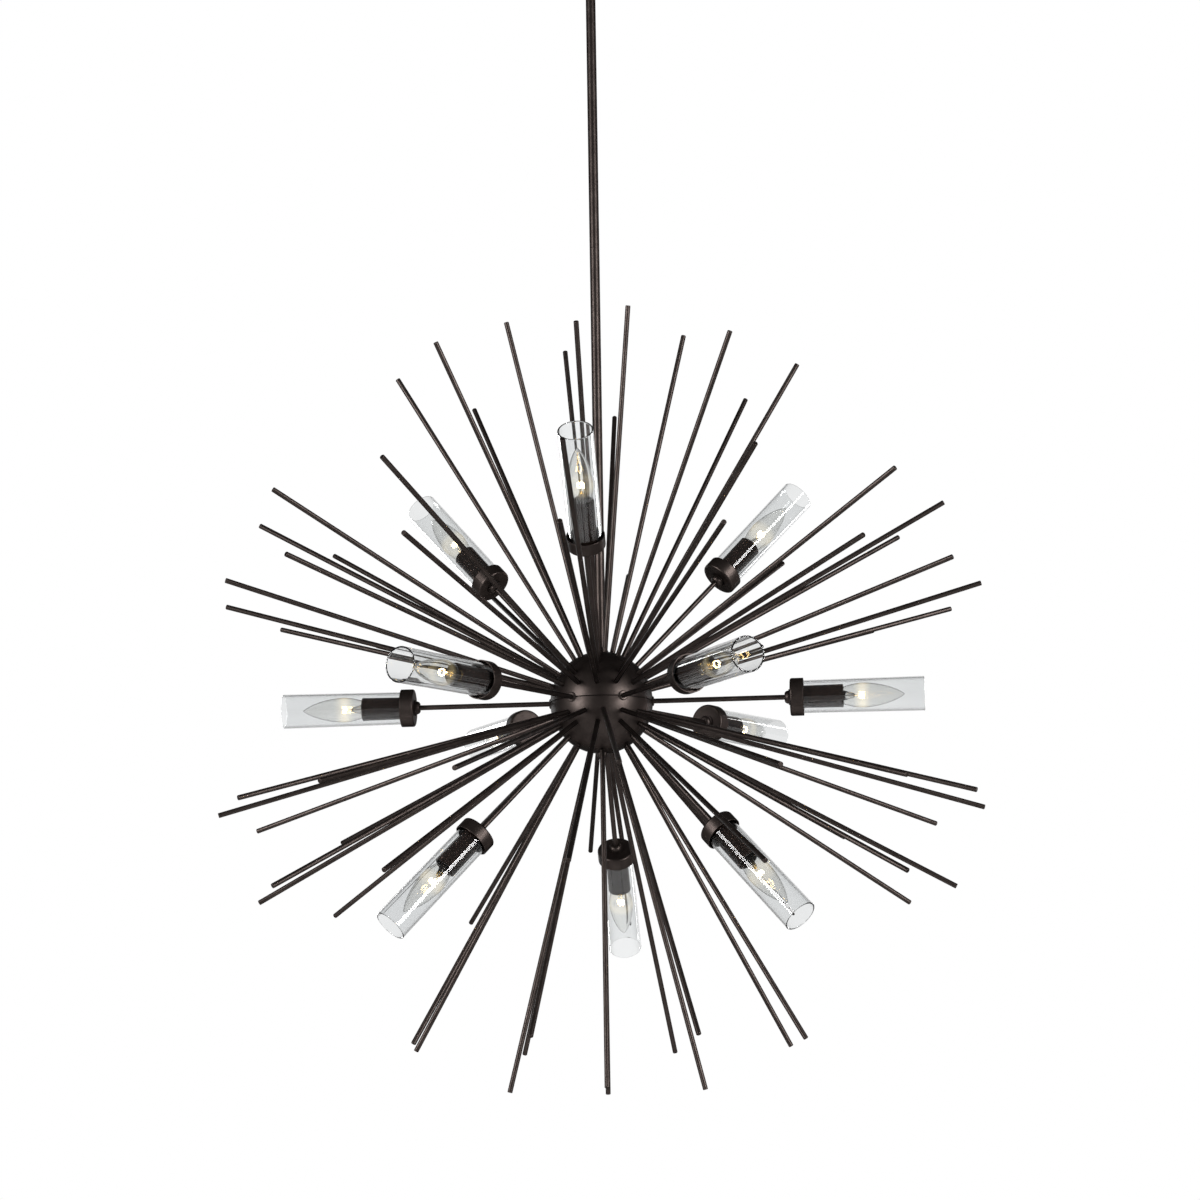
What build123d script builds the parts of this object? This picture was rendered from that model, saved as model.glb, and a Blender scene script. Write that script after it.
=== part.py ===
from build123d import *
import math
import os

# Sputnik chandelier: a two-part steel ball on a screwed stem, with 80 plain spikes and 12
# lights that stand out from it. Millimetres. +Z is up and the origin is the centre of the
# canopy at the ceiling. Light 1 points towards -Y, and azimuth grows towards +X.

# ---- driving dimensions ----

# small named gaps
FIT = 0.05                   # radial gap of pieces screwed or pushed together
RUN = 0.08                   # radial gap of pieces that turn in each other
FREE = 0.3                   # gap between bodies that only pass each other

# ball
BALL_RADIUS = 65.0
BALL_WALL = 1.5
SEAM_GAP = 0.3               # between the two half shells
SEAM_CHAMFER = 0.6
LIP_HEIGHT = 4.0             # locating lip of the lower shell, above and below the seam
LIP_WALL = 1.2

# spikes: how many in each row of a shell, and the row's elevation and first azimuth
SPIKES_PER_ROW = (16, 12, 8, 4)
SPIKE_ROW_ANGLES = ((16.0, 0.0), (29.0, 0.0), (59.0, 0.0), (76.0, 25.0))
SPIKE_RADIUS = 3.175
SPIKE_REACH = 503.0          # ball centre to spike tip
SPIKE_TIP_ROUND = 0.9
ROD_DEPTH = 7.5              # of spikes and arms inside the shell
NUT_RADIUS = 5.0
NUT_HEIGHT = 3.2

# lights: per shell three, and six at the seam
LIGHT_ELEVATION = 45.0
LIGHTS_PER_SHELL = 3
SEAM_LIGHTS = 6
SEAM_LIGHT_START = 30.0
SHELL_FLIP = -60.0           # the lower shell is the upper one turned over about azimuth -30
SHELL_TURN = -13.0           # keeps the sphere's own edge clear of the holes

ARM_RADIUS = 3.175
ARM_BORE = 2.1
FERRULE_RADIUS = 6.25
FERRULE_BARREL = 4.5
FERRULE_HEAD = 1.6

# along an arm, from the ball's centre
CUP_BACK = 239.0
CUP_FRONT = 256.0
CUP_RADIUS = 24.0
CUP_WALL = 1.6
CUP_CORNER = 2.6
BOSS_LENGTH = 7.0
BOSS_BASE_RADIUS = 10.0
BOSS_STEP = 1.8
BOSS_DOME_RADIUS = 8.4
BOSS_NECK_RADIUS = 4.6

SHADE_MOUTH = 408.0
SHADE_BASE_RADIUS = 20.6
SHADE_MOUTH_RADIUS = 21.8
SHADE_WALL = 1.9
SHADE_FLOOR = 3.0
SHADE_CORNER = 3.5
SHADE_RIM_ROUND = 0.8
SEAT_GAP = 0.1               # under flat faces that lie on each other

WASHER_RADIUS = 16.5
WASHER_HEIGHT = 1.4

SLEEVE_TOP = 306.0
SLEEVE_BASE_RADIUS = 14.0
SLEEVE_TOP_RADIUS = 14.7
SLEEVE_MOUTH_RADIUS = 12.6
SLEEVE_MOUTH_DEPTH = 15.0
SLEEVE_BEVEL = 0.7

SCREW_SHELL_WALL = 0.8
SCREW_SHELL_LENGTH = 22.0
CONTACT_RADIUS = 2.4
CONTACT_HEIGHT = 1.6

BULB_TIP = 383.0
BULB_BASE_RADIUS = 6.0
BULB_NECK_RADIUS = 7.0
BULB_MOUTH_RADIUS = 11.4     # of the glass where it leaves the sleeve
BULB_RADIUS = 16.0
BULB_BELLY = 25.0            # from the sleeve's mouth to the widest place
BULB_WALL = 0.8
MOUNT_FOOT = 5.6             # the glass mount in the bulb
MOUNT_RADIUS = 3.2
MOUNT_LENGTH = 26.0
FILAMENT_RISE = 17.0
FILAMENT_SPAN = 9.0
FILAMENT_BEND = 2.5
WIRE_RADIUS = 0.4

# stem
STEM_RADIUS = 6.35
STEM_BORE = 5.1
STEM_LOWER = 338.0
STEM_MIDDLE = 188.0
STEM_UPPER = 372.0
JOINER_BORE = 3.6
JOINER_REACH = 14.0          # into each tube
NECK_RADIUS = 9.5
NECK_RISE = 5.0              # top of the collar above the ball
LOCKNUT_RADIUS = 7.5
LOCKNUT_HEIGHT = 3.5
CAP_NUT_RADIUS = 7.0
CAP_NUT_HEIGHT = 8.0
WINDOW_LENGTH = 26.0         # wire window in the tube that crosses the ball
WINDOW_WIDTH = 4.0

# ceiling mount
BOX_SPACING = 88.9           # screws of a ceiling box
BOX_SLOT_LENGTH = 14.0
BOX_SLOT_RADIUS = 2.3
BAR_LENGTH = 112.0
BAR_WIDTH = 22.0
BAR_HEIGHT = 2.5
BAR_HOLE_RADIUS = 5.3
STUD_SPACING = 56.0
STUD_RADIUS = 2.0
GROUND_PLACE = 15.0
GROUND_RADIUS = 1.9
GROUND_HEAD_RADIUS = 4.0
GROUND_HEAD_HEIGHT = 2.4
CANOPY_RADIUS = 64.0
CANOPY_HEIGHT = 25.0
CANOPY_WALL = 1.2
CANOPY_CORNER = 14.0
CANOPY_NUT_RADIUS = 5.0
CANOPY_NUT_HEIGHT = 9.0
PLATE_RADIUS = 16.0
PLATE_HEIGHT = 1.5
NIPPLE_INSIDE = 9.0          # nipple above the canopy's floor

# swivel: a hollow ball in a seat that turns in its housing
SWIVEL_RADIUS = 16.0
SWIVEL_TOP_WALL = 5.0
SWIVEL_CAVITY = 12.6
SWIVEL_BALL_RADIUS = 11.0
SWIVEL_BALL_DROP = 17.0      # ball centre below the canopy
SEAT_DEPTH = 6.0
COLLAR_FLANGE = 2.0
COLLAR_TOP = 6.2             # below the swivel ball's centre
COLLAR_BOTTOM = 11.0
COLLAR_OPENING = 9.4
COLLAR_FLARE = 10.4
STEM_TOP_DROP = 16.0         # stem end below the swivel ball's centre

# ---- worked out ----

BALL_INSIDE = BALL_RADIUS - BALL_WALL
ROD_ROOT = BALL_INSIDE - ROD_DEPTH
NECK_TOP = BALL_RADIUS + NECK_RISE
THREAD_RADIUS = STEM_BORE - FIT
SWIVEL_Z = -CANOPY_HEIGHT - SWIVEL_BALL_DROP
STEM_TOP_Z = SWIVEL_Z - STEM_TOP_DROP
JOINT_UPPER_Z = STEM_TOP_Z - STEM_UPPER
JOINT_LOWER_Z = JOINT_UPPER_Z - STEM_MIDDLE
STEM_BOTTOM_Z = JOINT_LOWER_Z - STEM_LOWER
BALL_Z = STEM_BOTTOM_Z - NECK_TOP

CUP_FLOOR = CUP_BACK + CUP_WALL
SHADE_BOTTOM = CUP_FLOOR + SEAT_GAP
SHADE_FLOOR_TOP = SHADE_BOTTOM + SHADE_FLOOR
WASHER_BOTTOM = SHADE_FLOOR_TOP + SEAT_GAP
SLEEVE_BOTTOM = WASHER_BOTTOM + WASHER_HEIGHT + SEAT_GAP
ARM_END = SLEEVE_BOTTOM + 6.0
SHELL_TOP = SLEEVE_TOP - SLEEVE_MOUTH_DEPTH
SHELL_BOTTOM = SHELL_TOP - SCREW_SHELL_LENGTH
SCREW_SHELL_BORE = BULB_BASE_RADIUS + FREE
SCREW_SHELL_RADIUS = SCREW_SHELL_BORE + SCREW_SHELL_WALL
CONTACT_BOTTOM = SHELL_BOTTOM + SCREW_SHELL_WALL + FREE
BULB_BASE_BOTTOM = CONTACT_BOTTOM + CONTACT_HEIGHT
BULB_NECK = SHELL_TOP + FREE
BULB_WIDEST = SLEEVE_TOP + BULB_BELLY


def rod(radius, low, high):
    """A round bar along +Z from one height to another."""
    return Pos(0, 0, (low + high) / 2) * Cylinder(radius, high - low)


def tube(radius, bore, low, high):
    return rod(radius, low, high) - rod(bore, low - 1, high + 1)


def lathe(*outline):
    """Turns a closed outline of (radius, height) points and curves about Z."""
    return revolve(Plane.XZ * make_face(Curve() + list(outline)), Axis.Z)


def turned(points):
    """Turns a closed polygon of (radius, height) points about Z."""
    return revolve(Plane.XZ * make_face(Polyline(*points, close=True)), Axis.Z)


def sphere_level(radius, width):
    """Height at which a sphere's wall stands this far from its axis."""
    return math.sqrt(radius ** 2 - width ** 2)


def aim(azimuth, elevation):
    """Turns a piece built along +Z to stand out of the ball in this direction."""
    return Pos(0, 0, BALL_Z) * Rot(Z=azimuth) * Rot(X=90 - elevation)


def flipped(directions):
    """The same directions on the lower shell, which is the upper one turned over."""
    return [(SHELL_FLIP - azimuth, -elevation) for azimuth, elevation in directions]


def spike_directions():
    directions = []
    for count, (elevation, start) in zip(SPIKES_PER_ROW, SPIKE_ROW_ANGLES):
        directions += [(start + 360 / count * i, elevation) for i in range(count)]
    return directions


def shell_light_directions():
    step = 360 / LIGHTS_PER_SHELL
    return [(step * i, LIGHT_ELEVATION) for i in range(LIGHTS_PER_SHELL)]


def seam_light_directions():
    step = 360 / SEAM_LIGHTS
    return [(SEAM_LIGHT_START + step * i, 0.0) for i in range(SEAM_LIGHTS)]


SPIKES_UPPER = spike_directions()
SPIKES_LOWER = flipped(SPIKES_UPPER)
LIGHTS_UPPER = shell_light_directions()
LIGHTS_LOWER = flipped(LIGHTS_UPPER)
LIGHTS_SEAM = seam_light_directions()
LIGHTS = LIGHTS_UPPER + LIGHTS_SEAM + LIGHTS_LOWER


# ---- ball ----

def drills(directions, radius):
    """Drills through the ball's wall, in the ball's own frame."""
    drill = rod(radius, ROD_ROOT - 2, BALL_RADIUS + 3)
    return [Rot(Z=az) * Rot(X=90 - el) * drill for az, el in directions]


def on_sphere(radius, angle):
    return (radius * math.cos(angle), radius * math.sin(angle))


def half_wall():
    """Upper half of the hollow ball, with a bevelled rim and a hole at its top."""
    rim = SEAM_GAP / 2
    bevel = sphere_level(BALL_RADIUS, rim + SEAM_CHAMFER)
    hole = THREAD_RADIUS + FIT
    inner_rim = (sphere_level(BALL_INSIDE, rim), rim)
    outer_rim = (bevel, rim + SEAM_CHAMFER)
    outer_top = (hole, sphere_level(BALL_RADIUS, hole))
    inner_top = (hole, sphere_level(BALL_INSIDE, hole))
    middle = math.pi / 4
    return lathe(Line(inner_rim, (bevel - SEAM_CHAMFER, rim)),
                 Line((bevel - SEAM_CHAMFER, rim), outer_rim),
                 ThreePointArc(outer_rim, on_sphere(BALL_RADIUS, middle), outer_top),
                 Line(outer_top, inner_top),
                 ThreePointArc(inner_top, on_sphere(BALL_INSIDE, middle), inner_rim))


def pierced_shell():
    """One half of the ball as the upper one stands; the lower one is the same part."""
    shell = Rot(Z=SHELL_TURN) * half_wall()
    shell -= drills(SPIKES_UPPER, SPIKE_RADIUS + FIT)
    shell -= drills(LIGHTS_UPPER, ARM_RADIUS + FIT)
    return shell - drills(LIGHTS_SEAM, FERRULE_BARREL + FIT)


def locating_lip():
    """Band inside the seam, fixed to the lower shell, with the holes of the seam lights."""
    radius = sphere_level(BALL_INSIDE, LIP_HEIGHT) - FIT
    band = tube(radius, radius - LIP_WALL, -2 * LIP_HEIGHT, LIP_HEIGHT)
    foot = tube(BALL_INSIDE + BALL_WALL / 2, radius - LIP_WALL, -2 * LIP_HEIGHT, -LIP_HEIGHT)
    lip = Rot(Z=SHELL_TURN) * (band + (foot & Sphere(BALL_INSIDE + BALL_WALL / 2)))
    return lip - drills(LIGHTS_SEAM, FERRULE_BARREL + FIT)


def ball_upper_shell():
    return Pos(0, 0, BALL_Z) * pierced_shell()


def ball_lower_shell():
    half = SHELL_FLIP / 2
    turned_over = Rot(Z=half) * Rot(Y=180) * Rot(Z=-half) * pierced_shell()
    return Pos(0, 0, BALL_Z) * (turned_over + locating_lip())


def cross_tube():
    """Hollow threaded tube through the ball, from the lower stem to the cap nut."""
    pipe = tube(THREAD_RADIUS, JOINER_BORE, -BALL_RADIUS - CAP_NUT_HEIGHT / 2,
                NECK_TOP + JOINER_REACH)
    window = Box(2 * THREAD_RADIUS + 2, WINDOW_WIDTH, WINDOW_LENGTH)
    return Pos(0, 0, BALL_Z) * (pipe - window)


def ball_locknuts():
    top = sphere_level(BALL_INSIDE, LOCKNUT_RADIUS) - SEAT_GAP
    hexagon = RegularPolygon(LOCKNUT_RADIUS, 6) - Circle(THREAD_RADIUS + FIT)
    nut = Pos(0, 0, top - LOCKNUT_HEIGHT) * extrude(hexagon, LOCKNUT_HEIGHT)
    return [Pos(0, 0, BALL_Z) * nut, Pos(0, 0, BALL_Z) * Rot(X=180) * nut]


def neck_collar():
    """Turned collar between the ball's top and the stem."""
    seat = sphere_level(BALL_RADIUS, NECK_RADIUS)
    bore = THREAD_RADIUS + FIT
    collar = turned([(bore, seat), (NECK_RADIUS, seat), (NECK_RADIUS, seat + 1.5),
                     (STEM_RADIUS + 0.8, NECK_TOP), (bore, NECK_TOP)])
    return Pos(0, 0, BALL_Z) * (collar - Sphere(BALL_RADIUS + SEAT_GAP))


def bottom_cap_nut():
    seat = -sphere_level(BALL_RADIUS, CAP_NUT_RADIUS) - SEAT_GAP
    dome = Sphere(CAP_NUT_RADIUS) & rod(CAP_NUT_RADIUS, -CAP_NUT_RADIUS, 0)
    rise = CAP_NUT_HEIGHT - CAP_NUT_RADIUS
    nut = Pos(0, 0, seat - rise) * (dome + rod(CAP_NUT_RADIUS, 0, rise))
    hole = rod(THREAD_RADIUS + FIT, -BALL_RADIUS - CAP_NUT_HEIGHT / 2 - SEAT_GAP, 0)
    return Pos(0, 0, BALL_Z) * (nut - hole - Sphere(BALL_RADIUS + SEAT_GAP))


# ---- spikes and arms ----

def spike():
    bar = rod(SPIKE_RADIUS, ROD_ROOT, SPIKE_REACH)
    tip = bar.edges().group_by(Axis.Z)[-1]
    return fillet(tip, SPIKE_TIP_ROUND)


def rod_nut(bore):
    """Round nut inside the ball, with its rim against the shell."""
    top = sphere_level(BALL_INSIDE, NUT_RADIUS) - SEAT_GAP
    return tube(NUT_RADIUS, bore + FIT, top - NUT_HEIGHT, top)


def light_arm():
    return tube(ARM_RADIUS, ARM_BORE, ROD_ROOT, ARM_END)


def seam_ferrule():
    """Flanged bush in a round hole of the seam, with a nut-sized barrel inside."""
    seat = sphere_level(BALL_RADIUS, FERRULE_BARREL) + SEAT_GAP
    bore = ARM_RADIUS + FIT
    low = BALL_INSIDE - LIP_WALL - 2
    return turned([(bore, low), (FERRULE_BARREL, low), (FERRULE_BARREL, seat),
                   (FERRULE_RADIUS, seat), (FERRULE_RADIUS, seat + FERRULE_HEAD / 2),
                   (FERRULE_BARREL + 0.5, seat + FERRULE_HEAD),
                   (bore, seat + FERRULE_HEAD)])


def seam_nut():
    """Round nut that draws a seam arm and its ferrule against the lip."""
    top = BALL_INSIDE - LIP_WALL - 2 - SEAT_GAP
    return tube(NUT_RADIUS, ARM_RADIUS + FIT, top - NUT_HEIGHT, top)


# ---- one light, along +Z from the ball's centre ----

def arm_boss():
    """Domed boss screwed on the arm behind the cup."""
    back = CUP_BACK - BOSS_LENGTH
    top = CUP_BACK - SEAT_GAP
    step = top - BOSS_STEP
    bore = ARM_RADIUS + FIT
    dome = EllipticalCenterArc((BOSS_NECK_RADIUS, step), BOSS_DOME_RADIUS - BOSS_NECK_RADIUS,
                               step - back, start_angle=270, arc_size=90)
    outline = [Line((bore, back), (BOSS_NECK_RADIUS, back)), dome,
               Line((BOSS_DOME_RADIUS, step), (BOSS_BASE_RADIUS, step)),
               Line((BOSS_BASE_RADIUS, step), (BOSS_BASE_RADIUS, top)),
               Line((BOSS_BASE_RADIUS, top), (bore, top)),
               Line((bore, top), (bore, back))]
    return lathe(*outline)


def socket_cup():
    outer = rod(CUP_RADIUS, CUP_BACK, CUP_FRONT)
    outer = fillet(outer.edges().group_by(Axis.Z)[0], CUP_CORNER)
    inner = rod(CUP_RADIUS - CUP_WALL, CUP_FLOOR, CUP_FRONT + 1)
    inner = fillet(inner.edges().group_by(Axis.Z)[0], CUP_CORNER - CUP_WALL)
    cup = outer - inner - rod(ARM_RADIUS + FIT, CUP_BACK - 1, CUP_FLOOR + 1)
    rims = cup.edges().filter_by(GeomType.CIRCLE).group_by(Axis.Z)[-1]
    return fillet(rims, CUP_WALL * 0.35)


def glass_shade():
    """Open glass cylinder, a little wider at its mouth, with a holed floor."""
    outer = turned([(0, SHADE_BOTTOM), (SHADE_BASE_RADIUS, SHADE_BOTTOM),
                    (SHADE_MOUTH_RADIUS, SHADE_MOUTH), (0, SHADE_MOUTH)])
    outer = fillet(outer.edges().group_by(Axis.Z)[0], SHADE_CORNER)
    inner = turned([(0, SHADE_FLOOR_TOP), (SHADE_BASE_RADIUS - SHADE_WALL, SHADE_FLOOR_TOP),
                    (SHADE_MOUTH_RADIUS - SHADE_WALL, SHADE_MOUTH), (0, SHADE_MOUTH)])
    inner = fillet(inner.edges().group_by(Axis.Z)[0], SHADE_CORNER - SHADE_WALL)
    shade = outer - inner - rod(ARM_RADIUS + FREE, SHADE_BOTTOM - 1, SHADE_FLOOR_TOP + 1)
    rims = shade.edges().filter_by(GeomType.CIRCLE).group_by(Axis.Z)[-1]
    return fillet(rims, SHADE_RIM_ROUND)


def shade_washer():
    return tube(WASHER_RADIUS, ARM_RADIUS + FREE, WASHER_BOTTOM, WASHER_BOTTOM + WASHER_HEIGHT)


def candle_sleeve():
    """Candle-shaped lampholder that screws on the arm and clamps the shade's floor."""
    sleeve = turned([(0, SLEEVE_BOTTOM), (SLEEVE_BASE_RADIUS, SLEEVE_BOTTOM),
                     (SLEEVE_TOP_RADIUS, SLEEVE_TOP), (0, SLEEVE_TOP)])
    sleeve -= rod(SLEEVE_MOUTH_RADIUS, SHELL_TOP, SLEEVE_TOP + 1)
    sleeve -= rod(SCREW_SHELL_RADIUS + FIT, SHELL_BOTTOM - SEAT_GAP, SHELL_TOP + 1)
    sleeve -= rod(ARM_RADIUS + FIT, SLEEVE_BOTTOM - 1, ARM_END + SEAT_GAP)
    sleeve -= rod(ARM_BORE, ARM_END, SHELL_BOTTOM)
    rims = sleeve.edges().filter_by(GeomType.CIRCLE).group_by(Axis.Z)[-1]
    return chamfer(rims, SLEEVE_BEVEL)


def screw_shell():
    """Brass cup with the contact tongue that takes the bulb's base."""
    cup = rod(SCREW_SHELL_RADIUS, SHELL_BOTTOM, SHELL_TOP)
    return cup - rod(SCREW_SHELL_BORE, SHELL_BOTTOM + SCREW_SHELL_WALL, SHELL_TOP + 1)


def bulb_body(inset):
    """Candle shape: narrow neck, rounded belly and drawn tip."""
    neck = (BULB_NECK_RADIUS - inset, BULB_NECK)
    mouth = (BULB_MOUTH_RADIUS - inset, SLEEVE_TOP)
    widest = (BULB_RADIUS - inset, BULB_WIDEST)
    shoulder = (0.66 * (BULB_RADIUS - inset), BULB_TIP - 0.37 * (BULB_TIP - BULB_WIDEST))
    tip = (0, BULB_TIP - inset)
    flank = Spline(neck, mouth, widest, shoulder, tip, tangents=((0.3, 1), (-0.7, 0.7)))
    return lathe(Line((0, BULB_NECK), neck), flank, Line(tip, (0, BULB_NECK)))


def bulb_pieces():
    """Glass envelope, screw base and the glass mount with its filament."""
    throat = rod(BULB_NECK_RADIUS - BULB_WALL, BULB_NECK - 1, BULB_NECK + 1)
    envelope = bulb_body(0) - (bulb_body(BULB_WALL) + throat)
    base = rod(BULB_BASE_RADIUS, BULB_BASE_BOTTOM, BULB_NECK - FIT)
    base += rod(CONTACT_RADIUS, CONTACT_BOTTOM, BULB_BASE_BOTTOM)
    head = BULB_NECK + MOUNT_LENGTH
    mount = turned([(0, BULB_NECK), (MOUNT_FOOT, BULB_NECK),
                    (MOUNT_RADIUS, BULB_NECK + MOUNT_LENGTH / 3),
                    (MOUNT_RADIUS * 0.6, head), (0, head)])
    start = (-MOUNT_RADIUS * 0.3, head + WIRE_RADIUS)
    corner = (-FILAMENT_SPAN / 2, head + FILAMENT_RISE)
    path = Plane.XZ * FilletPolyline(start, corner, (-corner[0], corner[1]),
                                     (-start[0], start[1]), radius=FILAMENT_BEND)
    filament = sweep(Plane(origin=path @ 0, z_dir=path % 0) * Circle(WIRE_RADIUS), path=path)
    return [envelope, base, mount, filament]


# ---- stem ----

def stem_tube(low, high):
    pipe = tube(STEM_RADIUS, STEM_BORE, low, high)
    rims = pipe.edges().filter_by(GeomType.CIRCLE)
    outer = [edge for edge in rims if edge.radius > (STEM_RADIUS + STEM_BORE) / 2]
    return chamfer(outer, 0.25)


def stem_joiners():
    """Hollow threaded nipples inside the two stem joints."""
    return [tube(THREAD_RADIUS, JOINER_BORE, z - JOINER_REACH, z + JOINER_REACH)
            for z in (JOINT_UPPER_Z, JOINT_LOWER_Z)]


# ---- swivel ----

def swivel_housing():
    top = -CANOPY_HEIGHT - SEAT_GAP
    low = SWIVEL_Z - COLLAR_BOTTOM + COLLAR_FLANGE + SEAT_GAP
    body = rod(SWIVEL_RADIUS, low, top)
    body = fillet(body.edges().group_by(Axis.Z)[-1], 3.0)
    body -= rod(SWIVEL_CAVITY, low - 1, top - SWIVEL_TOP_WALL)
    return body - rod(THREAD_RADIUS + FIT, low, top + 1)


def swivel_collar():
    """Ring screwed into the housing from below, which keeps the seat and ball in."""
    bottom = SWIVEL_Z - COLLAR_BOTTOM
    flange = bottom + COLLAR_FLANGE
    top = SWIVEL_Z - COLLAR_TOP
    return turned([(COLLAR_FLARE, bottom), (SWIVEL_RADIUS - 1, bottom),
                   (SWIVEL_RADIUS, bottom + 1), (SWIVEL_RADIUS, flange),
                   (SWIVEL_CAVITY - FIT, flange), (SWIVEL_CAVITY - FIT, top),
                   (COLLAR_OPENING, top)])


def swivel_seat():
    """Bearing ring that turns in the housing and cradles the ball."""
    low = SWIVEL_Z - SEAT_DEPTH
    ring = rod(SWIVEL_CAVITY - RUN, low, SWIVEL_Z)
    return ring - Pos(0, 0, SWIVEL_Z) * Sphere(SWIVEL_BALL_RADIUS + RUN)


def swivel_ball():
    """Hollow ball with a threaded neck in the top of the stem."""
    neck_low = STEM_TOP_Z - JOINER_REACH
    ball = Pos(0, 0, SWIVEL_Z) * Sphere(SWIVEL_BALL_RADIUS)
    ball += rod(THREAD_RADIUS, neck_low, SWIVEL_Z)
    return ball - rod(JOINER_BORE, neck_low - 1, SWIVEL_Z + SWIVEL_BALL_RADIUS + 1)


# ---- ceiling mount ----

def crossbar():
    """Flat bar that is screwed across the ceiling box."""
    outline = Rectangle(BAR_LENGTH, BAR_WIDTH)
    outline = fillet(outline.vertices(), 4)
    slot = SlotOverall(BOX_SLOT_LENGTH, 2 * BOX_SLOT_RADIUS)
    for side in (-1, 1):
        outline -= Pos(side * BOX_SPACING / 2, 0) * slot
        outline -= Pos(side * STUD_SPACING / 2, 0) * Circle(STUD_RADIUS + FIT)
    outline -= Circle(BAR_HOLE_RADIUS)
    outline -= Pos(GROUND_PLACE, 0) * Circle(GROUND_RADIUS + FIT)
    return Pos(0, 0, -BAR_HEIGHT) * extrude(outline, BAR_HEIGHT)


def ground_screw():
    top = -BAR_HEIGHT - SEAT_GAP
    head = rod(GROUND_HEAD_RADIUS, top - GROUND_HEAD_HEIGHT, top)
    head -= Pos(0, 0, top - GROUND_HEAD_HEIGHT) * Box(2 * GROUND_HEAD_RADIUS + 1, 1.0, 1.6)
    return Pos(GROUND_PLACE, 0, 0) * (head + rod(GROUND_RADIUS, top, -SEAT_GAP))


def canopy():
    """Round dish that covers the ceiling box and carries the swivel."""
    outer = rod(CANOPY_RADIUS, -CANOPY_HEIGHT, 0)
    outer = fillet(outer.edges().group_by(Axis.Z)[0], CANOPY_CORNER)
    inner = rod(CANOPY_RADIUS - CANOPY_WALL, CANOPY_WALL - CANOPY_HEIGHT, 0)
    inner = fillet(inner.edges().group_by(Axis.Z)[0], CANOPY_CORNER - CANOPY_WALL)
    dish = outer - inner - rod(THREAD_RADIUS + FIT, -CANOPY_HEIGHT - 1, 0)
    for side in (-1, 1):
        hole = rod(STUD_RADIUS + FREE, -CANOPY_HEIGHT - 1, 0)
        dish -= Pos(side * STUD_SPACING / 2, 0, 0) * hole
    return dish


def canopy_studs():
    low = -CANOPY_HEIGHT - CANOPY_NUT_HEIGHT + 2.5
    return [Pos(side * STUD_SPACING / 2, 0, 0) * rod(STUD_RADIUS, low, 0) for side in (-1, 1)]


def canopy_nuts():
    """Ball nuts that hold the canopy up on its studs."""
    top = -CANOPY_HEIGHT - SEAT_GAP
    collar = rod(CANOPY_NUT_RADIUS, top - 1.6, top)
    round_end = Pos(0, 0, top - CANOPY_NUT_HEIGHT + CANOPY_NUT_RADIUS) * Sphere(CANOPY_NUT_RADIUS)
    nut = collar + (round_end & rod(CANOPY_NUT_RADIUS + 1, top - CANOPY_NUT_HEIGHT - 1, top))
    nut -= rod(STUD_RADIUS + FIT, -CANOPY_HEIGHT - CANOPY_NUT_HEIGHT + 2.3, top + 1)
    return [Pos(side * STUD_SPACING / 2, 0, 0) * nut for side in (-1, 1)]


def canopy_nipple():
    low = -CANOPY_HEIGHT - SWIVEL_TOP_WALL
    return tube(THREAD_RADIUS, JOINER_BORE, low, CANOPY_WALL - CANOPY_HEIGHT + NIPPLE_INSIDE)


def canopy_plate():
    """Stiffening washer on the canopy's floor, under the nut."""
    low = CANOPY_WALL - CANOPY_HEIGHT + SEAT_GAP
    return tube(PLATE_RADIUS, THREAD_RADIUS + FIT, low, low + PLATE_HEIGHT)


def canopy_locknut():
    low = CANOPY_WALL - CANOPY_HEIGHT + 2 * SEAT_GAP + PLATE_HEIGHT
    hexagon = RegularPolygon(LOCKNUT_RADIUS, 6) - Circle(THREAD_RADIUS + FIT)
    return Pos(0, 0, low) * extrude(hexagon, LOCKNUT_HEIGHT)


# ---- writing ----

def write(name, *solids):
    """One STEP file per node; a node may hold several separate solids."""
    pieces = [piece for solid in solids for piece in solid.solids()]
    for piece in pieces:
        piece.label = name
    shape = pieces[0] if len(pieces) == 1 else Compound(children=pieces)
    shape.label = name
    export_step(shape, "parts/" + name + ".step")
    print(name, len(pieces))


def copies(piece, directions):
    return [aim(azimuth, elevation) * piece for azimuth, elevation in directions]


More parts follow.
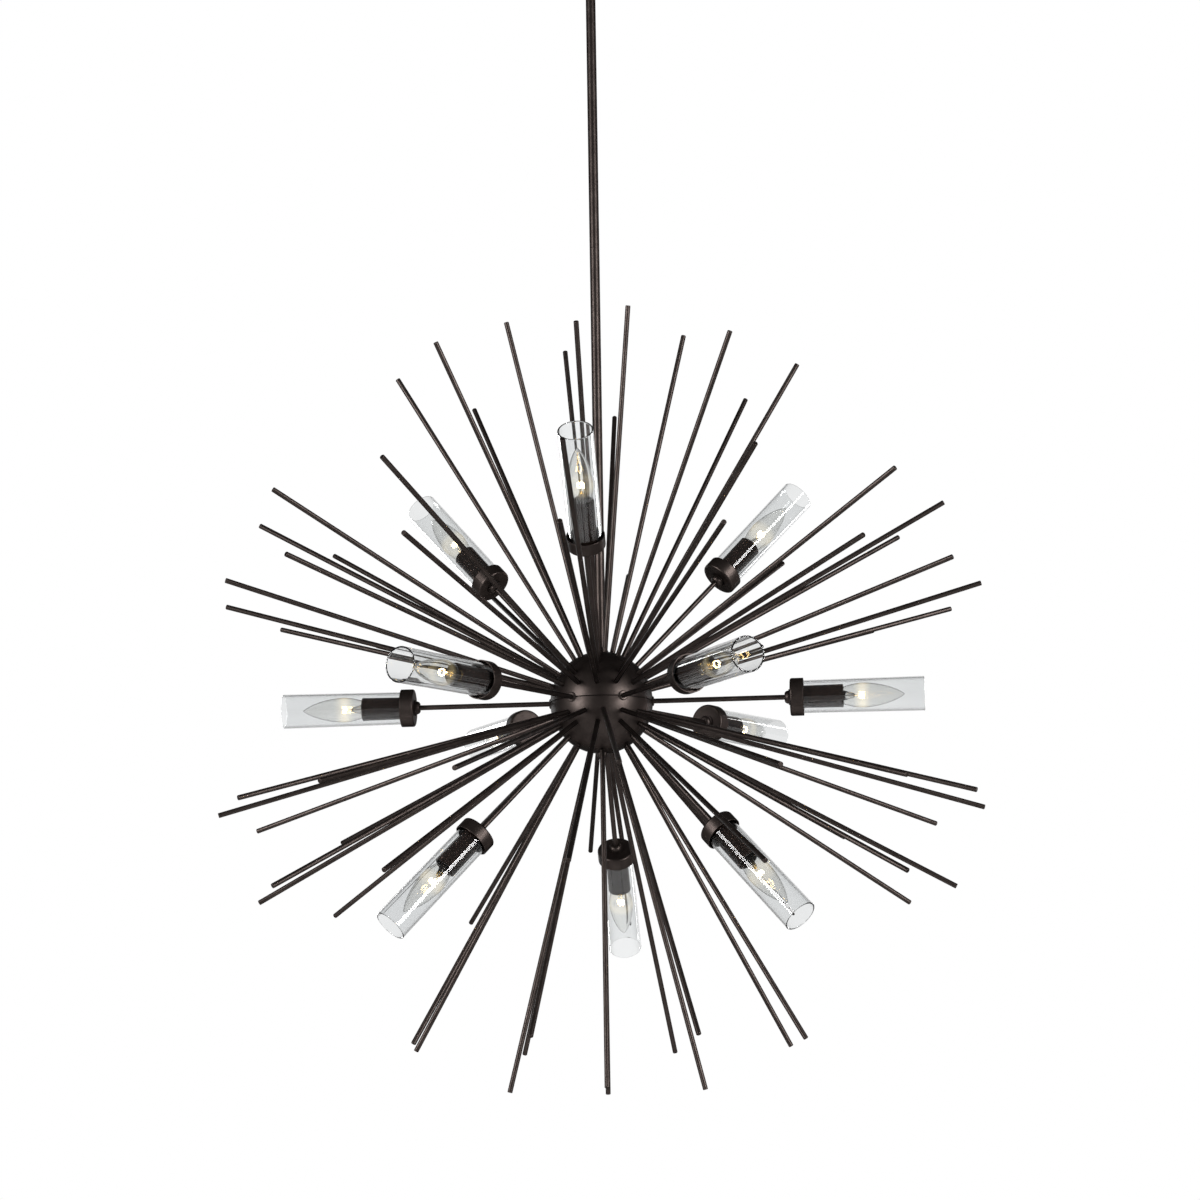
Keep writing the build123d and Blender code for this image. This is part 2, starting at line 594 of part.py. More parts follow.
def main():
    os.makedirs("parts", exist_ok=True)

    write("crossbar", crossbar())
    write("ground_screw", ground_screw())
    write("canopy", canopy())
    write("canopy_studs", *canopy_studs())
    write("canopy_ball_nuts", *canopy_nuts())
    write("canopy_nipple", canopy_nipple())
    write("canopy_plate", canopy_plate())
    write("canopy_locknut", canopy_locknut())

    write("swivel_housing", swivel_housing())
    write("swivel_collar", swivel_collar())
    write("swivel_seat", swivel_seat())
    write("swivel_ball", swivel_ball())

    write("stem_upper", stem_tube(JOINT_UPPER_Z, STEM_TOP_Z))
    write("stem_middle", stem_tube(JOINT_LOWER_Z, JOINT_UPPER_Z))
    write("stem_lower", stem_tube(STEM_BOTTOM_Z, JOINT_LOWER_Z))
    write("stem_joiners", *stem_joiners())
    write("neck_collar", neck_collar())

    write("ball_upper_shell", ball_upper_shell())
    write("ball_lower_shell", ball_lower_shell())
    write("ball_cross_tube", cross_tube())
    write("ball_locknuts", *ball_locknuts())
    write("ball_cap_nut", bottom_cap_nut())

    plain_spike = spike()
    write("spikes_upper", *copies(plain_spike, SPIKES_UPPER))
    write("spikes_lower", *copies(plain_spike, SPIKES_LOWER))
    spike_nut = rod_nut(SPIKE_RADIUS)
    write("spike_nuts_upper", *copies(spike_nut, SPIKES_UPPER))
    write("spike_nuts_lower", *copies(spike_nut, SPIKES_LOWER))

    write("light_arms", *copies(light_arm(), LIGHTS))
    arm_nuts = copies(rod_nut(ARM_RADIUS), LIGHTS_UPPER + LIGHTS_LOWER)
    write("arm_nuts", *arm_nuts, *copies(seam_nut(), LIGHTS_SEAM))
    write("seam_ferrules", *copies(seam_ferrule(), LIGHTS_SEAM))
    write("arm_bosses", *copies(arm_boss(), LIGHTS))
    write("socket_cups", *copies(socket_cup(), LIGHTS))
    write("shade_washers", *copies(shade_washer(), LIGHTS))
    write("candle_sleeves", *copies(candle_sleeve(), LIGHTS))
    write("screw_shells", *copies(screw_shell(), LIGHTS))

    shade = glass_shade()
    bulb = bulb_pieces()
    for number, direction in enumerate(LIGHTS, start=1):
        place = aim(*direction)
        write(f"shade_{number:02d}", place * shade)
        write(f"bulb_{number:02d}", *[place * piece for piece in bulb])


main()
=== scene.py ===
import math

import bmesh
import bpy
from mathutils import Matrix, Vector


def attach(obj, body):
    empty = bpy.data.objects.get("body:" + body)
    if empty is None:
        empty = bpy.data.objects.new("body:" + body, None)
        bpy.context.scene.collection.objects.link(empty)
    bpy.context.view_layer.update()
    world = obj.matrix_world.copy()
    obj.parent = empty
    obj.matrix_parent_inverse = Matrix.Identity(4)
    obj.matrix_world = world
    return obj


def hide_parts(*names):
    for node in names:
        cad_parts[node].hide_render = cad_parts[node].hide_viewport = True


# Sputnik chandelier: finishes, glass, bulbs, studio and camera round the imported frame.
# Metres. The canopy's centre at the ceiling is the origin, and light 1 points towards -Y.

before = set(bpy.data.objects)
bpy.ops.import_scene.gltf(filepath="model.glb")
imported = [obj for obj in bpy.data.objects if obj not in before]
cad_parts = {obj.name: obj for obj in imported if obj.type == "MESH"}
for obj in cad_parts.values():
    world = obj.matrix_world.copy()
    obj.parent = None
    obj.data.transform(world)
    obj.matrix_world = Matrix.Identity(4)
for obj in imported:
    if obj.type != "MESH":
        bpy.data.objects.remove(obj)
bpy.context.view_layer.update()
print("frame loaded with", len(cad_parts), "nodes")

mm = 0.001
ballCentre = Vector((0, 0, -1.026))

# azimuth and elevation of each light, in the order of the numbered nodes
lightDirections = (
    [(turn, 45) for turn in (0, 120, 240)]
    + [(turn, 0) for turn in range(30, 360, 60)]
    + [(turn, -45) for turn in (-60, -180, -300)]
)


def newMaterial(name):
    material = bpy.data.materials.new(name)
    material.use_nodes = True
    tree = material.node_tree
    return material, tree, tree.nodes["Principled BSDF"]


def setSockets(node, **values):
    for name, value in values.items():
        node.inputs[name.replace("_", " ")].default_value = value


def noisePattern(tree, scale, detail, roughness=0.5):
    place = tree.nodes.new("ShaderNodeTexCoord")
    noise = tree.nodes.new("ShaderNodeTexNoise")
    setSockets(noise, Scale=scale, Detail=detail, Roughness=roughness)
    tree.links.new(place.outputs["Object"], noise.inputs["Vector"])
    return noise.outputs["Fac"]


def colourRamp(tree, factor, stops):
    ramp = tree.nodes.new("ShaderNodeValToRGB")
    while len(ramp.color_ramp.elements) < len(stops):
        ramp.color_ramp.elements.new(0.5)
    for element, (place, colour) in zip(ramp.color_ramp.elements, stops):
        element.position = place
        element.color = (*colour, 1)
    tree.links.new(factor, ramp.inputs["Fac"])
    return ramp.outputs["Color"]


def valueRange(tree, factor, low, high, source=(0, 1)):
    spread = tree.nodes.new("ShaderNodeMapRange")
    setSockets(spread, From_Min=source[0], From_Max=source[1], To_Min=low, To_Max=high)
    tree.links.new(factor, spread.inputs["Value"])
    return spread.outputs["Result"]


def bumpFrom(tree, height, strength, depth):
    bump = tree.nodes.new("ShaderNodeBump")
    setSockets(bump, Strength=strength, Distance=depth)
    tree.links.new(height, bump.inputs["Height"])
    return bump.outputs["Normal"]


# shared by all the solid finishes: soft clouds in the colour, fine grain in the surface
finishNoise = {
    "cloudDetail": 4, "cloudRoughness": 0.6, "darkAt": 0.32, "lightAt": 0.68,
    "grainDetail": 3, "grainRoughness": 0.55,
}


def finish(name, settings, noise=finishNoise):
    material, tree, shader = newMaterial(name)
    setSockets(shader, Metallic=settings["metallic"])
    shader.inputs["Specular IOR Level"].default_value = settings.get("specular", 0.5)
    edge = settings.get("edgeTint", 1)
    shader.inputs["Specular Tint"].default_value = (edge, edge, edge, 1)
    clouds = noisePattern(tree, settings["cloudScale"], noise["cloudDetail"],
                          noise["cloudRoughness"])
    colour = colourRamp(tree, clouds, [
        (noise["darkAt"], settings["dark"]), (noise["lightAt"], settings["light"])])
    tree.links.new(colour, shader.inputs["Base Color"])
    grain = noisePattern(tree, settings["grainScale"], noise["grainDetail"],
                         noise["grainRoughness"])
    roughness = valueRange(tree, grain, *settings["roughness"])
    tree.links.new(roughness, shader.inputs["Roughness"])
    normal = bumpFrom(tree, grain, settings["bump"], settings["bumpDepth"])
    tree.links.new(normal, shader.inputs["Normal"])
    return material


finishes = {
    "darkBronze": {
        "metallic": 0.92, "dark": (0.026, 0.0205, 0.0187), "light": (0.041, 0.0330, 0.0300),
        "cloudScale": 40, "grainScale": 420, "roughness": (0.36, 0.43),
        "bump": 0.05, "bumpDepth": 0.00005, "edgeTint": 0.25,
    },
    "zincSteel": {
        "metallic": 1.0, "dark": (0.36, 0.36, 0.35), "light": (0.56, 0.56, 0.54),
        "cloudScale": 90, "grainScale": 1800, "roughness": (0.26, 0.46),
        "bump": 0.12, "bumpDepth": 0.00006,
    },
    "greenSteel": {
        "metallic": 0.75, "dark": (0.03, 0.14, 0.05), "light": (0.05, 0.22, 0.08),
        "cloudScale": 200, "grainScale": 2200, "roughness": (0.28, 0.42),
        "bump": 0.1, "bumpDepth": 0.00005,
    },
    "nylon": {
        "metallic": 0.0, "dark": (0.10, 0.095, 0.09), "light": (0.15, 0.14, 0.13),
        "cloudScale": 140, "grainScale": 900, "roughness": (0.45, 0.6),
        "bump": 0.15, "bumpDepth": 0.00008,
    },
    "washerRubber": {
        "metallic": 0.0, "dark": (0.014, 0.014, 0.014), "light": (0.026, 0.026, 0.026),
        "cloudScale": 160, "grainScale": 1600, "roughness": (0.62, 0.82),
        "bump": 0.25, "bumpDepth": 0.0001,
    },
    "blackGloss": {
        "metallic": 0.0, "specular": 0.22, "dark": (0.0042, 0.0026, 0.0021),
        "light": (0.0064, 0.0042, 0.0034), "cloudScale": 90, "grainScale": 180,
        "roughness": (0.07, 0.10), "bump": 0.004, "bumpDepth": 0.00001,
    },
    "brass": {
        "metallic": 1.0, "dark": (0.55, 0.37, 0.13), "light": (0.80, 0.58, 0.25),
        "cloudScale": 150, "grainScale": 1500, "roughness": (0.20, 0.34),
        "bump": 0.08, "bumpDepth": 0.00005,
    },
    "nickelWire": {
        "metallic": 1.0, "dark": (0.42, 0.40, 0.37), "light": (0.60, 0.57, 0.52),
        "cloudScale": 300, "grainScale": 2600, "roughness": (0.2, 0.32),
        "bump": 0.05, "bumpDepth": 0.00003,
    },
}
finishByName = {name: finish(name, settings) for name, settings in finishes.items()}
print("finishes made:", len(finishByName))


glassNoise = {
    "cloudDetail": 2, "cloudRoughness": 0.5, "tintAt": 0.3, "clearAt": 0.7,
    "smearDetail": 5, "smearRoughness": 0.7,
}


def glass(name, settings, noise=glassNoise):
    material, tree, shader = newMaterial(name)
    setSockets(shader, Transmission_Weight=1, IOR=settings["ior"])
    shader.inputs["Specular IOR Level"].default_value = settings["specular"]
    clouds = noisePattern(tree, settings["cloudScale"], noise["cloudDetail"],
                          noise["cloudRoughness"])
    colour = colourRamp(tree, clouds, [
        (noise["tintAt"], settings["tint"]), (noise["clearAt"], settings["clear"])])
    tree.links.new(colour, shader.inputs["Base Color"])
    smears = noisePattern(tree, settings["smearScale"], noise["smearDetail"],
                          noise["smearRoughness"])
    tree.links.new(valueRange(tree, smears, *settings["roughness"]), shader.inputs["Roughness"])
    return material, tree, shader


shadeGlass = {
    "ior": 1.38, "specular": 0.4,
    "tint": (0.84, 0.85, 0.855), "clear": (0.87, 0.88, 0.88), "cloudScale": 9,
    "smearScale": 60, "roughness": (0.0, 0.01),
}
shadeMaterial = glass("shadeGlass", shadeGlass)[0]

bulbGlass = {
    "ior": 1.45, "specular": 0.4, "tint": (0.93, 0.93, 0.92), "clear": (0.95, 0.95, 0.94),
    "cloudScale": 12, "smearScale": 80, "roughness": (0.0, 0.012),
    # the glow colour and band paint a warm halo of emission on the bulb's clear glass, round
    # the filament's height
    "glow": (1.0, 0.80, 0.42), "paintedHaloStrength": 0.09,
    "paintedHaloLow": 0.28, "paintedHaloPeak": 0.42, "paintedHaloHigh": 0.56,
}


# painted halo: the clear envelope glows in a warm band round the filament's height, standing in
# for the filament's light
def bulbGlassPaintedHalo(settings):
    material, tree, shader = glass("bulbGlass", settings)
    along = tree.nodes.new("ShaderNodeUVMap")
    along.uv_map = "along"
    parts = tree.nodes.new("ShaderNodeSeparateXYZ")
    tree.links.new(along.outputs["UV"], parts.inputs["Vector"])
    black = (0, 0, 0)
    glow = colourRamp(tree, parts.outputs["Y"], [
        (settings["paintedHaloLow"], black), (settings["paintedHaloPeak"], settings["glow"]),
        (settings["paintedHaloHigh"], black)])
    glow.node.color_ramp.interpolation = "EASE"
    tree.links.new(glow, shader.inputs["Emission Color"])
    shader.inputs["Emission Strength"].default_value = settings["paintedHaloStrength"]
    return material


bulbMaterial = bulbGlassPaintedHalo(bulbGlass)

filamentLight = {
    "colour": (1.0, 0.62, 0.26), "strength": 22, "hotter": 1.25,
    "grainScale": 900, "grainDetail": 2, "coolAt": 0.3, "hotAt": 0.7,
    "wire": (0.3, 0.28, 0.25), "roughness": 0.5,
}


def filamentGlow(settings):
    material, tree, shader = newMaterial("filamentGlow")
    grain = noisePattern(tree, settings["grainScale"], settings["grainDetail"])
    hottest = tuple(min(1, settings["hotter"] * part) for part in settings["colour"])
    glow = colourRamp(tree, grain, [
        (settings["coolAt"], settings["colour"]), (settings["hotAt"], hottest)])
    tree.links.new(glow, shader.inputs["Emission Color"])
    shader.inputs["Emission Strength"].default_value = settings["strength"]
    setSockets(shader, Base_Color=(*settings["wire"], 1), Roughness=settings["roughness"])
    return material


filamentMaterial = filamentGlow(filamentLight)

# every node that isn't named here is dark bronze
nodeFinish = {
    "crossbar": "zincSteel", "ground_screw": "greenSteel", "canopy_nipple": "zincSteel",
    "canopy_plate": "zincSteel", "canopy_locknut": "zincSteel", "canopy_studs": "zincSteel",
    "swivel_seat": "nylon", "stem_joiners": "zincSteel", "ball_cross_tube": "zincSteel",
    "ball_locknuts": "zincSteel", "spike_nuts_upper": "zincSteel",
    "spike_nuts_lower": "zincSteel", "arm_nuts": "zincSteel",
    "shade_washers": "washerRubber", "candle_sleeves": "blackGloss", "screw_shells": "brass",
}


def dressNode(node, material):
    if not node.material_slots:
        node.data.materials.append(material)
    for slot in node.material_slots:
        slot.material = material


for name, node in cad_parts.items():
    if not name.startswith(("shade_", "bulb_")) or name == "shade_washers":
        dressNode(node, finishByName[nodeFinish.get(name, "darkBronze")])
print("nodes dressed")


# the lights are shaped upright on the origin and then turned out from the ball
def alongLight(direction):
    azimuth, elevation = direction
    return (Matrix.Translation(ballCentre)
            @ Matrix.Rotation(math.radians(azimuth), 4, "Z")
            @ Matrix.Rotation(math.radians(90 - elevation), 4, "X"))


weld = 0.01 * mm  # points nearer than this are merged


def spun(profile, steps, closed=False):
    mesh = bmesh.new()
    verts = [mesh.verts.new((radius * mm, 0, height * mm)) for radius, height in profile]
    ends = verts[1:] + verts[:1] if closed else verts[1:]
    edges = [mesh.edges.new(pair) for pair in zip(verts, ends)]
    bmesh.ops.spin(mesh, geom=verts + edges, cent=(0, 0, 0), axis=(0, 0, 1),
                   angle=2 * math.pi, steps=steps, use_merge=True)
    bmesh.ops.remove_doubles(mesh, verts=mesh.verts, dist=weld)
    bmesh.ops.recalc_face_normals(mesh, faces=mesh.faces)
    return mesh


def ringEdges(mesh, radius, height, slack=0.05):
    def onRing(vert):
        return (abs(math.hypot(vert.co.x, vert.co.y) - radius * mm) < slack * mm
                and abs(vert.co.z - height * mm) < slack * mm)
    return [edge for edge in mesh.edges if all(onRing(vert) for vert in edge.verts)]


def roundRing(mesh, radius, height, size, segments):
    bmesh.ops.bevel(mesh, geom=ringEdges(mesh, radius, height), offset=size * mm,
                    offset_type="OFFSET", affect="EDGES", segments=segments, profile=0.5,
                    material=-1, clamp_overlap=True)


def cutAcross(mesh, *heights):
    for height in heights:
        bmesh.ops.bisect_plane(mesh, geom=mesh.verts[:] + mesh.edges[:] + mesh.faces[:],
                               plane_co=(0, 0, height * mm), plane_no=(0, 0, 1))


def meshFrom(mesh, name, low=None, high=None, sharp=None):
    data = bpy.data.meshes.new(name)
    mesh.to_mesh(data)
    mesh.free()
    data.shade_smooth()
    if sharp:
        data.set_sharp_from_angle(angle=math.radians(sharp))
    if high:
        along = data.uv_layers.new(name="along")
        for loop in data.loops:
            point = data.vertices[loop.vertex_index].co
            turn = math.atan2(point.y, point.x) / (2 * math.pi) + 0.5
            along.data[loop.index].uv = (turn, (point.z / mm - low) / (high - low))
    return data


def placed(data, name, direction, material, body, node):
    own = data.copy()
    own.name = name
    own.transform(alongLight(direction))
    own.materials.clear()
    own.materials.append(material)
    piece = bpy.data.objects.new(name, own)
    bpy.context.scene.collection.objects.link(piece)
    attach(piece, body)
    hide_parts(node)
    return piece


shade = {
    "bottom": 240.7, "floor": 3.0, "mouth": 408.0, "baseRadius": 20.6, "mouthRadius": 21.8,
    "wall": 1.9, "hole": 3.475, "outerCorner": 3.5, "innerCorner": 1.6, "lip": 0.85,
    "outerSegments": 6, "innerSegments": 5, "lipSegments": 4, "loopGap": 0.35,
    "steps": 192, "sharp": 50,
}


def shadeMesh(s):
    floorTop = s["bottom"] + s["floor"]
    innerBase, innerMouth = s["baseRadius"] - s["wall"], s["mouthRadius"] - s["wall"]
    mesh = spun([(s["hole"], s["bottom"]), (s["baseRadius"], s["bottom"]),
                 (s["mouthRadius"], s["mouth"]), (innerMouth, s["mouth"]),
                 (innerBase, floorTop), (s["hole"], floorTop)], s["steps"], closed=True)
    roundRing(mesh, s["baseRadius"], s["bottom"], s["outerCorner"], s["outerSegments"])
    roundRing(mesh, innerBase, floorTop, s["innerCorner"], s["innerSegments"])
    roundRing(mesh, s["mouthRadius"], s["mouth"], s["lip"], s["lipSegments"])
    roundRing(mesh, innerMouth, s["mouth"], s["lip"], s["lipSegments"])
    # loops beside the rounded rings keep the walls' shading straight
    cutAcross(mesh, s["bottom"] + s["outerCorner"] + s["loopGap"],
              floorTop + s["innerCorner"] + s["loopGap"],
              (s["bottom"] + s["mouth"]) / 2, s["mouth"] - s["lip"] - s["loopGap"])
    return meshFrom(mesh, "shadeShape", sharp=s["sharp"])


bulb = {
    "outline": ((7.0, 291.3), (8.7, 297.5), (11.4, 306.0), (14.4, 316.0), (15.85, 326.0),
                (15.9, 335.0), (14.7, 346.0), (12.3, 357.5), (8.9, 368.0), (5.3, 375.8),
                (2.6, 380.0), (1.3, 381.8), (0.7, 382.8), (0.0, 383.0)),
    "wall": 0.7, "steps": 32, "rounding": 2, "smallSteps": 20, "sharp": 60,
    "contactSharp": 40,
    "foot": ((0.0, 271.7), (4.6, 271.7), (5.4, 272.5), (5.65, 273.5)),
    "threadStart": 274.0, "threadTurns": 5.25, "rowsPerTurn": 8, "threadPitch": 2.54,
    "threadRoot": 5.38, "threadCrest": 5.95, "threadSteps": 28,
    "collar": ((5.7, 288.2), (5.95, 288.8), (5.95, 290.4), (5.6, 291.2), (0.0, 291.25)),
    "contact": ((0.0, 270.1), (1.5, 270.1), (2.3, 270.7), (2.4, 271.7), (0.0, 271.75)),
    "mount": ((0.0, 291.4), (6.3, 291.4), (6.6, 296.0), (6.8, 302.0), (6.2, 308.0),
              (4.6, 313.0), (3.2, 318.0), (1.8, 320.5), (0.0, 321.0)),
    "leads": (((-1.0, 0, 300.0), (-1.2, 0, 316.0), (-2.4, 0, 321.0), (-4.2, 0, 325.0)),
              ((1.0, 0, 300.0), (1.2, 0, 316.0), (2.4, 0, 321.0), (4.2, 0, 325.0))),
    "cageRadius": 4.2, "cageLow": 325.0, "cageHigh": 334.5, "cageLegs": 14,
    "leadRadius": 0.28, "leadSmooth": 4, "filamentRadius": 0.4, "filamentSmooth": 3,
}


def threadedBase(s):
    rows = round(s["threadTurns"] * s["rowsPerTurn"])
    rise = s["threadPitch"] / s["rowsPerTurn"]
    start, middle = s["threadStart"], (s["threadRoot"] + s["threadCrest"]) / 2
    flank = [(middle, start + row * rise) for row in range(rows + 1)]
    mesh = spun([*s["foot"], *flank, *s["collar"]], s["threadSteps"])
    depth, end = (s["threadCrest"] - s["threadRoot"]) / 2, start + rows * rise
    for vert in mesh.verts:
        height = vert.co.z / mm
        if start <= height <= end + weld / mm:  # the rolled thread climbs one pitch a turn
            turn = math.atan2(vert.co.y, vert.co.x) / (2 * math.pi)
            fade = min(1, (height - start) / rise, (end - height) / rise)
            swell = depth * max(0, fade) * math.cos(
                2 * math.pi * ((height - start) / s["threadPitch"] - turn))
            bmesh.ops.scale(mesh, verts=[vert], vec=((middle + swell) / middle,) * 2 + (1,))
    return meshFrom(mesh, "bulbBaseShape", sharp=s["sharp"])


# the filament goes up and down round the bulb's middle and ends where it starts
def cagePath(s):
    path = []
    for leg in range(s["cageLegs"] + 1):
        turn = 2 * math.pi * leg / s["cageLegs"]
        path.append((s["cageRadius"] * math.cos(turn), s["cageRadius"] * math.sin(turn),
                     s["cageHigh"] if leg % 2 else s["cageLow"]))
    return path


def wireMesh(name, paths, radius, smooth, sharp):
    curve = bpy.data.curves.new(name, "CURVE")
    curve.dimensions = "3D"
    curve.bevel_depth = radius * mm
    curve.bevel_resolution = 2
    curve.use_fill_caps = True
    for path in paths:
        line = curve.splines.new("NURBS")
        line.points.add(len(path) - 1)
        for point, place in zip(line.points, path):
            point.co = (*(Vector(place) * mm), 1)
        line.use_endpoint_u = True
        line.order_u = 3
        line.resolution_u = smooth
    holder = bpy.data.objects.new(name, curve)
    data = bpy.data.meshes.new_from_object(holder)
    bpy.data.objects.remove(holder)
    mesh = bmesh.new()
    mesh.from_mesh(data)
    bmesh.ops.remove_doubles(mesh, verts=mesh.verts, dist=weld / 10)
    bmesh.ops.recalc_face_normals(mesh, faces=mesh.faces)
    return meshFrom(mesh, name, sharp=sharp)


shadeShape = shadeMesh(shade)
envelopeShape = meshFrom(spun(bulb["outline"], bulb["steps"]), "bulbShape",
                         low=bulb["outline"][0][1], high=bulb["outline"][-1][1])
baseShape = threadedBase(bulb)
contactShape = meshFrom(spun(bulb["contact"], bulb["smallSteps"]), "contactShape",
                        sharp=bulb["contactSharp"])
mountShape = meshFrom(spun(bulb["mount"], bulb["smallSteps"]), "mountShape",
                      sharp=bulb["sharp"])
leadShape = wireMesh("leadShape", bulb["leads"], bulb["leadRadius"], bulb["leadSmooth"],
                     bulb["sharp"])
filamentShape = wireMesh("filamentShape", [cagePath(bulb)], bulb["filamentRadius"],
                         bulb["filamentSmooth"], bulb["sharp"])

for number, direction in enumerate(lightDirections, start=1):
    tag = f"{number:02d}"
    shadePiece = placed(shadeShape, "glassShade_" + tag, direction, shadeMaterial,
                        "hanging", "shade_" + tag)
    shadePiece.visible_shadow = False  # clear glass lets the lamps' light through
    turning, bulbNode = "turning_bulb_" + tag, "bulb_" + tag
    envelope = placed(envelopeShape, "bulbEnvelope_" + tag, direction, bulbMaterial,
                      turning, bulbNode)
    envelope.visible_shadow = False
    wall = envelope.modifiers.new("wall", "SOLIDIFY")
    wall.thickness = bulb["wall"] * mm
    wall.offset = -1
    rounding = envelope.modifiers.new("rounding", "SUBSURF")
    rounding.levels = rounding.render_levels = bulb["rounding"]
    mount = placed(mountShape, "bulbMount_" + tag, direction, bulbMaterial,
                   turning, bulbNode)
    mount.visible_shadow = False
    placed(baseShape, "bulbBase_" + tag, direction, finishByName["brass"],
           turning, bulbNode)
    placed(contactShape, "bulbContact_" + tag, direction, finishByName["nickelWire"],
           turning, bulbNode)
    placed(leadShape, "bulbLeads_" + tag, direction, finishByName["nickelWire"],
           turning, bulbNode)
    placed(filamentShape, "bulbFilament_" + tag, direction, filamentMaterial,
           turning, bulbNode)
print("shades and bulbs made:", len(lightDirections))


studio = {
    "floorHeight": -2.42, "floorRadius": 14.0, "floorSegments": 96,
    "floorColour": (0.86, 0.86, 0.86), "floorRoughness": 0.8,
    "ambient": 0.55, "unlit": 0.12, "unlitEnd": 0.82, "whiteStart": 0.985,
    "lampDistance": 3.2, "lampWidth": 1.0, "lampTall": 2.2, "lampHeight": -0.7,
    "lampSpread": 84,
    "lamps": ((52, 5.5), (-46, 5.5), (135, 3.5), (222, 3.5)),  # azimuth and radiance
}


def paleFloor(s):
    mesh = bmesh.new()
    bmesh.ops.create_circle(mesh, cap_ends=True, segments=s["floorSegments"],
                            radius=s["floorRadius"])
    bmesh.ops.translate(mesh, verts=mesh.verts, vec=(0, 0, s["floorHeight"]))
    data = bpy.data.meshes.new("floor")
    mesh.to_mesh(data)
    mesh.free()
    material, tree, shader = newMaterial("paleFloor")
    setSockets(shader, Base_Color=(*s["floorColour"], 1), Roughness=s["floorRoughness"])
    # the light can be looked at from under the floor, so its underside is clear
    side = tree.nodes.new("ShaderNodeNewGeometry")
    clear = tree.nodes.new("ShaderNodeBsdfTransparent")
    both = tree.nodes.new("ShaderNodeMixShader")
    tree.links.new(side.outputs["Backfacing"], both.inputs[0])
    tree.links.new(shader.outputs[0], both.inputs[1])
    tree.links.new(clear.outputs[0], both.inputs[2])
    tree.links.new(both.outputs[0], tree.nodes["Material Output"].inputs["Surface"])
    data.materials.append(material)
    floor = bpy.data.objects.new("floor", data)
    bpy.context.scene.collection.objects.link(floor)


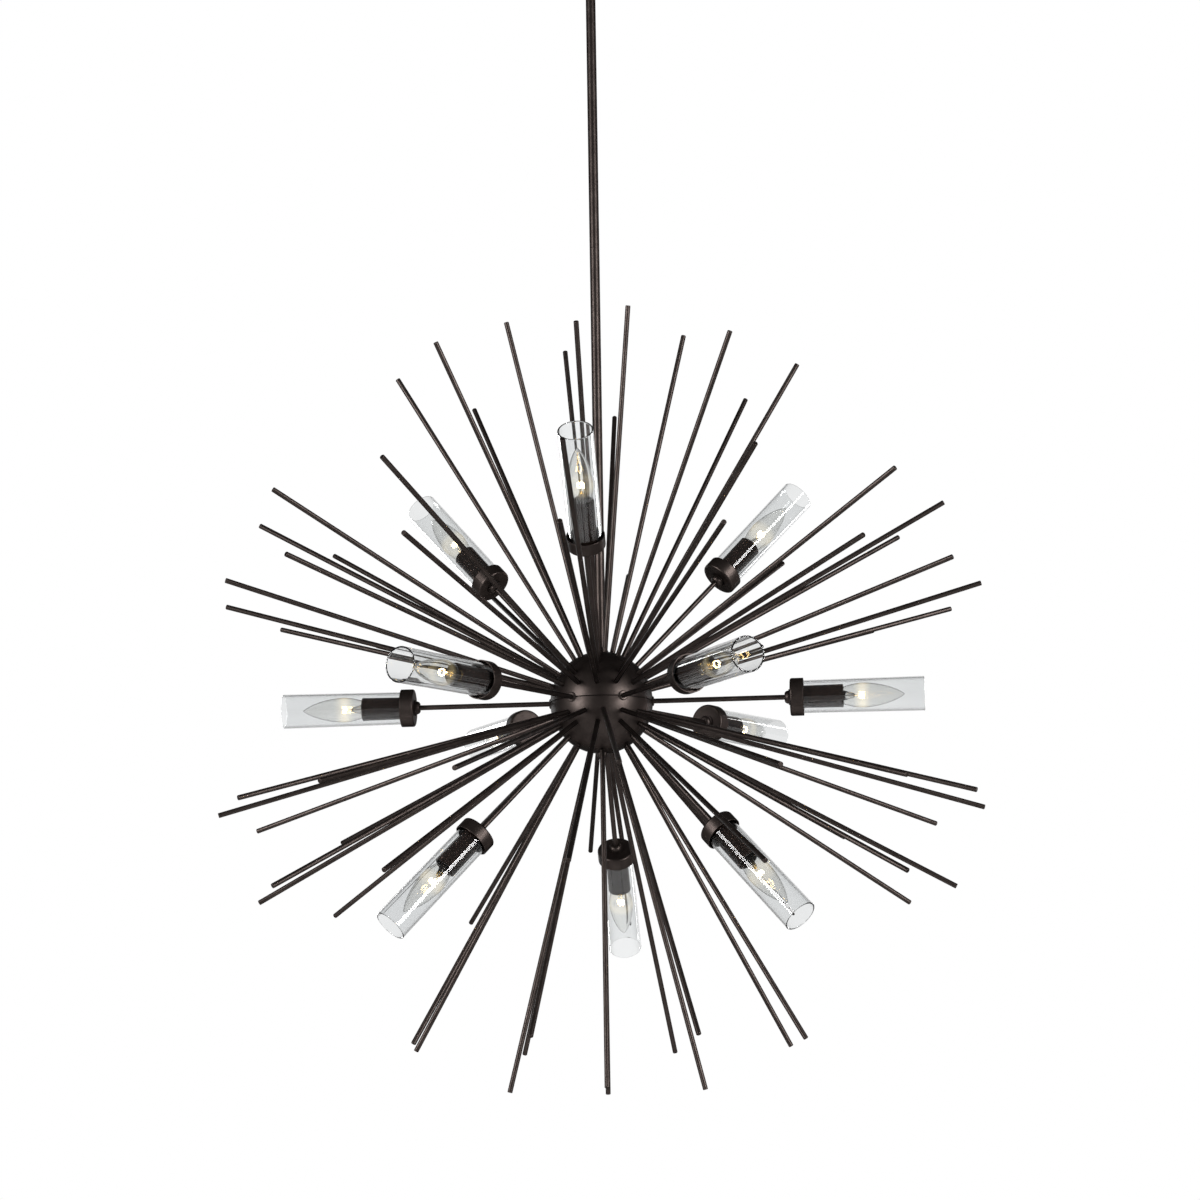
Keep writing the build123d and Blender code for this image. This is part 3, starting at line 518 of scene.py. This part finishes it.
def softWorld(s):
    world = bpy.data.worlds.new("studio")
    bpy.context.scene.world = world
    world.use_nodes = True
    tree = world.node_tree
    tree.nodes.clear()
    rays = tree.nodes.new("ShaderNodeLightPath")
    seen = rays.outputs["Is Camera Ray"]
    for kind in ("Is Glossy Ray", "Is Transmission Ray"):
        either = tree.nodes.new("ShaderNodeMath")
        either.operation = "MAXIMUM"
        tree.links.new(seen, either.inputs[0])
        tree.links.new(rays.outputs[kind], either.inputs[1])
        seen = either.outputs[0]
    ambient = tree.nodes.new("ShaderNodeBackground")
    setSockets(ambient, Color=(1, 1, 1, 1), Strength=s["ambient"])
    backdrop = tree.nodes.new("ShaderNodeBackground")
    backdrop.inputs["Strength"].default_value = 1
    direction = tree.nodes.new("ShaderNodeTexCoord")
    parts = tree.nodes.new("ShaderNodeSeparateXYZ")
    tree.links.new(direction.outputs["Generated"], parts.inputs["Vector"])
    # what is reflected on the way is the backdrop and the dim room beside it,
    # and whatever is seen straight or through glass is white
    across = valueRange(tree, parts.outputs["Y"], 0, 1, (-1, 1))
    unlit = (s["unlit"],) * 3
    room = colourRamp(tree, across, [(s["unlitEnd"], unlit), (s["whiteStart"], (1, 1, 1))])
    mirrored = tree.nodes.new("ShaderNodeMath")
    mirrored.operation = "MINIMUM"  # 1 after any number of reflections
    tree.links.new(rays.outputs["Glossy Depth"], mirrored.inputs[0])
    mirrored.inputs[1].default_value = 1
    choice = tree.nodes.new("ShaderNodeMix")
    choice.data_type = "RGBA"
    choice.inputs["A"].default_value = (1, 1, 1, 1)
    tree.links.new(mirrored.outputs[0], choice.inputs["Factor"])
    tree.links.new(room, choice.inputs["B"])
    tree.links.new(choice.outputs["Result"], backdrop.inputs["Color"])
    mix = tree.nodes.new("ShaderNodeMixShader")
    output = tree.nodes.new("ShaderNodeOutputWorld")
    tree.links.new(seen, mix.inputs[0])
    tree.links.new(ambient.outputs[0], mix.inputs[1])
    tree.links.new(backdrop.outputs[0], mix.inputs[2])
    tree.links.new(mix.outputs[0], output.inputs["Surface"])


def stripLamps(s):
    area = s["lampWidth"] * s["lampTall"]
    for number, (azimuth, radiance) in enumerate(s["lamps"], start=1):
        light = bpy.data.lights.new(f"stripLamp_{number}", "AREA")
        light.shape = "RECTANGLE"
        light.size, light.size_y = s["lampWidth"], s["lampTall"]
        light.spread = math.radians(s["lampSpread"])
        light.energy = radiance * math.pi * area
        lamp = bpy.data.objects.new(f"stripLamp_{number}", light)
        bpy.context.scene.collection.objects.link(lamp)
        turn = math.radians(azimuth)
        lamp.location = (s["lampDistance"] * math.sin(turn),
                         -s["lampDistance"] * math.cos(turn), s["lampHeight"])
        lamp.visible_transmission = False  # no glitter from light that bounces inside a wall
        lamp.rotation_mode = "QUATERNION"
        lamp.rotation_quaternion = (ballCentre - lamp.location).to_track_quat("-Z", "Y")


paleFloor(studio)
softWorld(studio)
stripLamps(studio)
print("studio lit")


photoView = {
    "azimuth": 5.27, "elevation": -8.37, "distance": 4.313, "lens": 102.0, "sensor": 36,
    "tiltUp": 1.728, "roll": 0.9,
}


def photoCamera(s):
    data = bpy.data.cameras.new("photoCamera")
    data.lens = s["lens"]
    data.sensor_width = s["sensor"]
    camera = bpy.data.objects.new("photoCamera", data)
    bpy.context.scene.collection.objects.link(camera)
    turn, rise = math.radians(s["azimuth"]), math.radians(s["elevation"])
    back = Vector((math.sin(turn) * math.cos(rise), -math.cos(turn) * math.cos(rise),
                   math.sin(rise)))
    facing = (-back).to_track_quat("-Z", "Y").to_matrix().to_4x4()
    camera.matrix_world = (Matrix.Translation(ballCentre + back * s["distance"]) @ facing
                           @ Matrix.Rotation(math.radians(s["tiltUp"]), 4, "X")
                           @ Matrix.Rotation(math.radians(-s["roll"]), 4, "Z"))
    bpy.context.scene.camera = camera


photoCamera(photoView)
bpy.context.scene.view_settings.view_transform = "Standard"
print("camera set")
